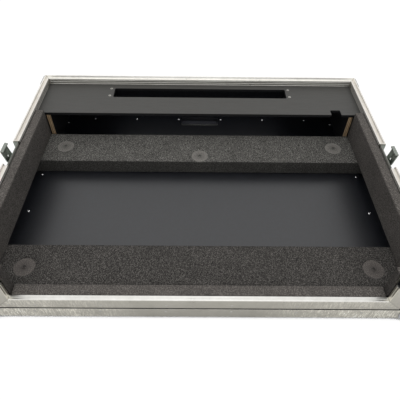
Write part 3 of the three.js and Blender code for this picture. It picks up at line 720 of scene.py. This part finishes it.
# Heights of the rows on the outside, and how far the corner plates stand off it
EDGE_ROW = 28
LIP_ROW = 50
RIM_ROW = RIM_TOP - 18
PLATE = 1.75

# Where rows along the case's width end, on the outside and on the floor board, and how far out
# the floor board's side rows stand
ROW_END = 290.5
FLOOR_ROW_END = 284.6
FLOOR_ROW_SIDE = 371.5


def spread(first, last, count):
    return [first + (last - first) * i / (count - 1) for i in range(count)]


def on_face(side, along, height, proud=0.0):
    """A spot on an outer face: distance along it from the middle, and height."""
    normal = FACES[side]
    if side in ("front", "back"):
        return (along, normal[1] * (HALF_DEPTH + proud), height), normal
    return (normal[0] * (HALF_WIDTH + proud), along, height), normal


def at_corner(sx, sy, inset, height, proud=0.0):
    """Spots on both outer faces of a corner, at the same inset from it."""
    deep = "front" if sy < 0 else "back"
    wide = "left" if sx < 0 else "right"
    return [
        on_face(deep, sx * (HALF_WIDTH - inset), height, proud),
        on_face(wide, sy * (HALF_DEPTH - inset), height, proud),
    ]


floor_spots = [((x, 270.0, FLOOR_TOP), UP) for x in spread(-FLOOR_ROW_END, FLOOR_ROW_END, 6)]
for side in (-1, 1):
    floor_spots.append(((side * 352.8, 251.5, FLOOR_TOP), UP))
    for y in (-63.9, 50.1):
        floor_spots.append(((side * FLOOR_ROW_SIDE, y, FLOOR_TOP), UP))
turned_heads("floor_rivets", floor_spots, FLOOR_RIVET, "rivet")

edge_spots = [on_face("front", x, EDGE_ROW) for x in spread(-ROW_END, 288.3, 6)]
edge_spots += [on_face("back", x, EDGE_ROW) for x in spread(-ROW_END, ROW_END, 6)]
for side in ("left", "right"):
    edge_spots += [on_face(side, y, EDGE_ROW) for y in spread(-172, 172, 4)]
turned_heads("bottom_edge_rivets", edge_spots, EDGE_RIVET, "dull_rivet")

lip_places = (-329, -283.5, -170, -57, 57, 170, 283.5, 329)
lip_spots = [on_face("front", x, LIP_ROW) for x in lip_places]
turned_heads("front_lip_rivets", lip_spots, LIP_RIVET, "dull_rivet")

rim_spots = [on_face("back", x, RIM_ROW) for x in spread(-290, 290, 6)]
for side in ("left", "right"):
    rim_spots += [on_face(side, y, RIM_ROW) for y in (-215, -135, -66, 66, 135, 215)]
turned_heads("rim_rivets", rim_spots, RIM_RIVET, "rim_rivet")

corner_spots = []
for sx, sy in CORNERS:
    for height in (72, 86):
        corner_spots += at_corner(sx, sy, 15, height)
turned_heads("corner_angle_rivets", corner_spots, RIM_RIVET, "rim_rivet")

plate_spots = []
for sx, sy in CORNERS:
    for inset, height in ((29, 104), (29, 122), (34, 24), (20, 44)):
        plate_spots += at_corner(sx, sy, inset, height, PLATE)
    for a, b in ((35, 18), (18, 35)):
        place = (sx * (HALF_WIDTH - a), sy * (HALF_DEPTH - b), UNDERSIDE - PLATE)
        plate_spots.append((place, DOWN))
turned_heads("corner_plate_rivets", plate_spots, RIM_RIVET, "rim_rivet")

under_places = [(x, s * 270.0) for s in (-1, 1) for x in spread(-FLOOR_ROW_END, FLOOR_ROW_END, 6)]
under_places += [(s * FLOOR_ROW_SIDE, y) for s in (-1, 1) for y in spread(-177.9, 164.1, 4)]
under_spots = [((x, y, UNDERSIDE), DOWN) for x, y in under_places]
turned_heads("underside_rivets", under_spots, UNDER_RIVET, "dull_rivet")

flange_places = ((-44, 70), (44, 70), (-44, 122), (44, 122), (-22, 54.8), (22, 54.8))
flange_spots = [on_face(side, *place) for side in ("left", "right") for place in flange_places]
turned_heads("latch_flange_rivets", flange_spots, LATCH_RIVET, "rim_rivet")

screw_spots = [((x, y, SHELF_TOP), UP) for x in (-225, 224) for y in (235.5, 266.4)]
turned_heads("shelf_screws", screw_spots, SCREW, "dull_rivet")


# ---- camera, floor, light

# The photograph's camera: focal length in image widths, angles in degrees, and its place in
# millimetres
FOCAL = 405.4 / 400
PITCH = 47.68
ROLL = 0.83
YAW = 0.54
EYE = (-4.52, -638.3, RIM_TOP + 559.49)
SENSOR = 36


def aim_camera():
    pitch, roll, yaw = math.radians(PITCH), math.radians(ROLL), math.radians(YAW)
    north = math.cos(pitch)
    ahead = Vector((math.sin(yaw) * north, math.cos(yaw) * north, -math.sin(pitch)))
    level = Vector((math.cos(yaw), -math.sin(yaw), 0))
    down = ahead.cross(level)
    right = math.cos(roll) * level - math.sin(roll) * down
    below = math.sin(roll) * level + math.cos(roll) * down
    data = bpy.data.cameras.new("camera")
    data.sensor_width = SENSOR
    data.lens = SENSOR * FOCAL
    data.clip_start = 0.01
    camera = new_object("camera", data)
    turn = Matrix((right, -below, -ahead)).transposed().to_4x4()
    camera.matrix_world = Matrix.Translation(Vector(EYE) * MM) @ turn
    bpy.context.scene.camera = camera


def shown_rays(tree):
    """1 for rays of the camera and of mirrors and glass, which see the white studio itself."""
    path = tree.nodes.new("ShaderNodeLightPath")
    total = path.outputs["Is Camera Ray"]
    for name in ("Is Glossy Ray", "Is Transmission Ray"):
        more = tree.nodes.new("ShaderNodeMath")
        more.operation = "MAXIMUM"
        tree.links.new(total, more.inputs[0])
        tree.links.new(path.outputs[name], more.inputs[1])
        total = more.outputs[0]
    return path, total


def mixed_by(tree, fac, first, second):
    made = tree.nodes.new("ShaderNodeMixShader")
    for socket, source in zip(made.inputs, (fac, first, second)):
        tree.links.new(source, socket)
    return made.outputs[0]


def grey_diffuse(tree, grey):
    made = tree.nodes.new("ShaderNodeBsdfDiffuse")
    made.inputs["Color"].default_value = (grey, grey, grey, 1)
    return made.outputs[0]


FLOOR_HALF = 6.0
FLOOR_GREY = 0.8
FLOOR_GLOW = 0.88
FLOOR_FAINT = 0.22
SHADE_REACH = 0.3
# Openness over which the glow comes up, as the camera and as mirrors see the floor
SEEN_OPEN = (0.28, 0.37)
MIRRORED_OPEN = (0.1, 0.95)


def pale_floor():
    """A white floor that darkens only where something stands close over it."""
    data = bpy.data.meshes.new("floor")
    corners = [(sx * FLOOR_HALF, sy * FLOOR_HALF, 0)
               for sx, sy in ((-1, -1), (1, -1), (1, 1), (-1, 1))]
    data.from_pydata(corners, [], [(0, 1, 2, 3)])
    new_object("floor", data)
    material = bpy.data.materials.new("floor")
    material.use_nodes = True
    tree = material.node_tree
    tree.nodes.clear()
    link = tree.links.new
    out = tree.nodes.new("ShaderNodeOutputMaterial")
    path, shown = shown_rays(tree)
    plain = grey_diffuse(tree, FLOOR_GREY)
    open_sky = tree.nodes.new("ShaderNodeAmbientOcclusion")
    open_sky.samples = 8
    open_sky.inputs["Distance"].default_value = SHADE_REACH
    glows = []
    for start, end in (SEEN_OPEN, MIRRORED_OPEN):
        made = tree.nodes.new("ShaderNodeMapRange")
        made.inputs["From Min"].default_value = start
        made.inputs["From Max"].default_value = end
        made.inputs["To Max"].default_value = FLOOR_GLOW
        link(open_sky.outputs["AO"], made.inputs["Value"])
        glows.append(made.outputs[0])
    seen, mirrored = glows
    level = tree.nodes.new("ShaderNodeMix")
    link(path.outputs["Is Camera Ray"], level.inputs["Factor"])
    link(mirrored, level.inputs["A"])
    link(seen, level.inputs["B"])
    glow = tree.nodes.new("ShaderNodeEmission")
    link(level.outputs[0], glow.inputs["Strength"])
    both = tree.nodes.new("ShaderNodeAddShader")
    link(glow.outputs[0], both.inputs[0])
    link(grey_diffuse(tree, FLOOR_FAINT), both.inputs[1])
    link(mixed_by(tree, shown, plain, both.outputs[0]), out.inputs["Surface"])
    data.materials.append(material)


ROOM_COLOUR = (1.0, 0.99, 0.97, 1)
ROOM_STRENGTH = 0.85


def soft_world():
    """Soft light from all around, with plain white where the world itself is seen."""
    world = bpy.data.worlds.new("studio")
    bpy.context.scene.world = world
    world.use_nodes = True
    tree = world.node_tree
    tree.nodes.clear()
    out = tree.nodes.new("ShaderNodeOutputWorld")
    skies = []
    for colour, strength in ((ROOM_COLOUR, ROOM_STRENGTH), ((*WHITE, 1), 1.0)):
        made = tree.nodes.new("ShaderNodeBackground")
        made.inputs["Color"].default_value = colour
        made.inputs["Strength"].default_value = strength
        skies.append(made.outputs[0])
    tree.links.new(mixed_by(tree, shown_rays(tree)[1], *skies), out.inputs["Surface"])


def softbox(name, place, size, watts):
    """A round lamp that points at the case, with its place and size in metres."""
    data = bpy.data.lights.new(name, "AREA")
    data.shape = "DISK"
    data.size = size
    data.energy = watts
    lamp = new_object(name, data)
    lamp.location = place
    lamp.rotation_euler = (-Vector(place)).to_track_quat("-Z", "Y").to_euler()


aim_camera()
pale_floor()
soft_world()
softbox("key", (0.0, -0.1, 2.7), 2.2, 8)
bpy.context.scene.view_settings.view_transform = "Standard"
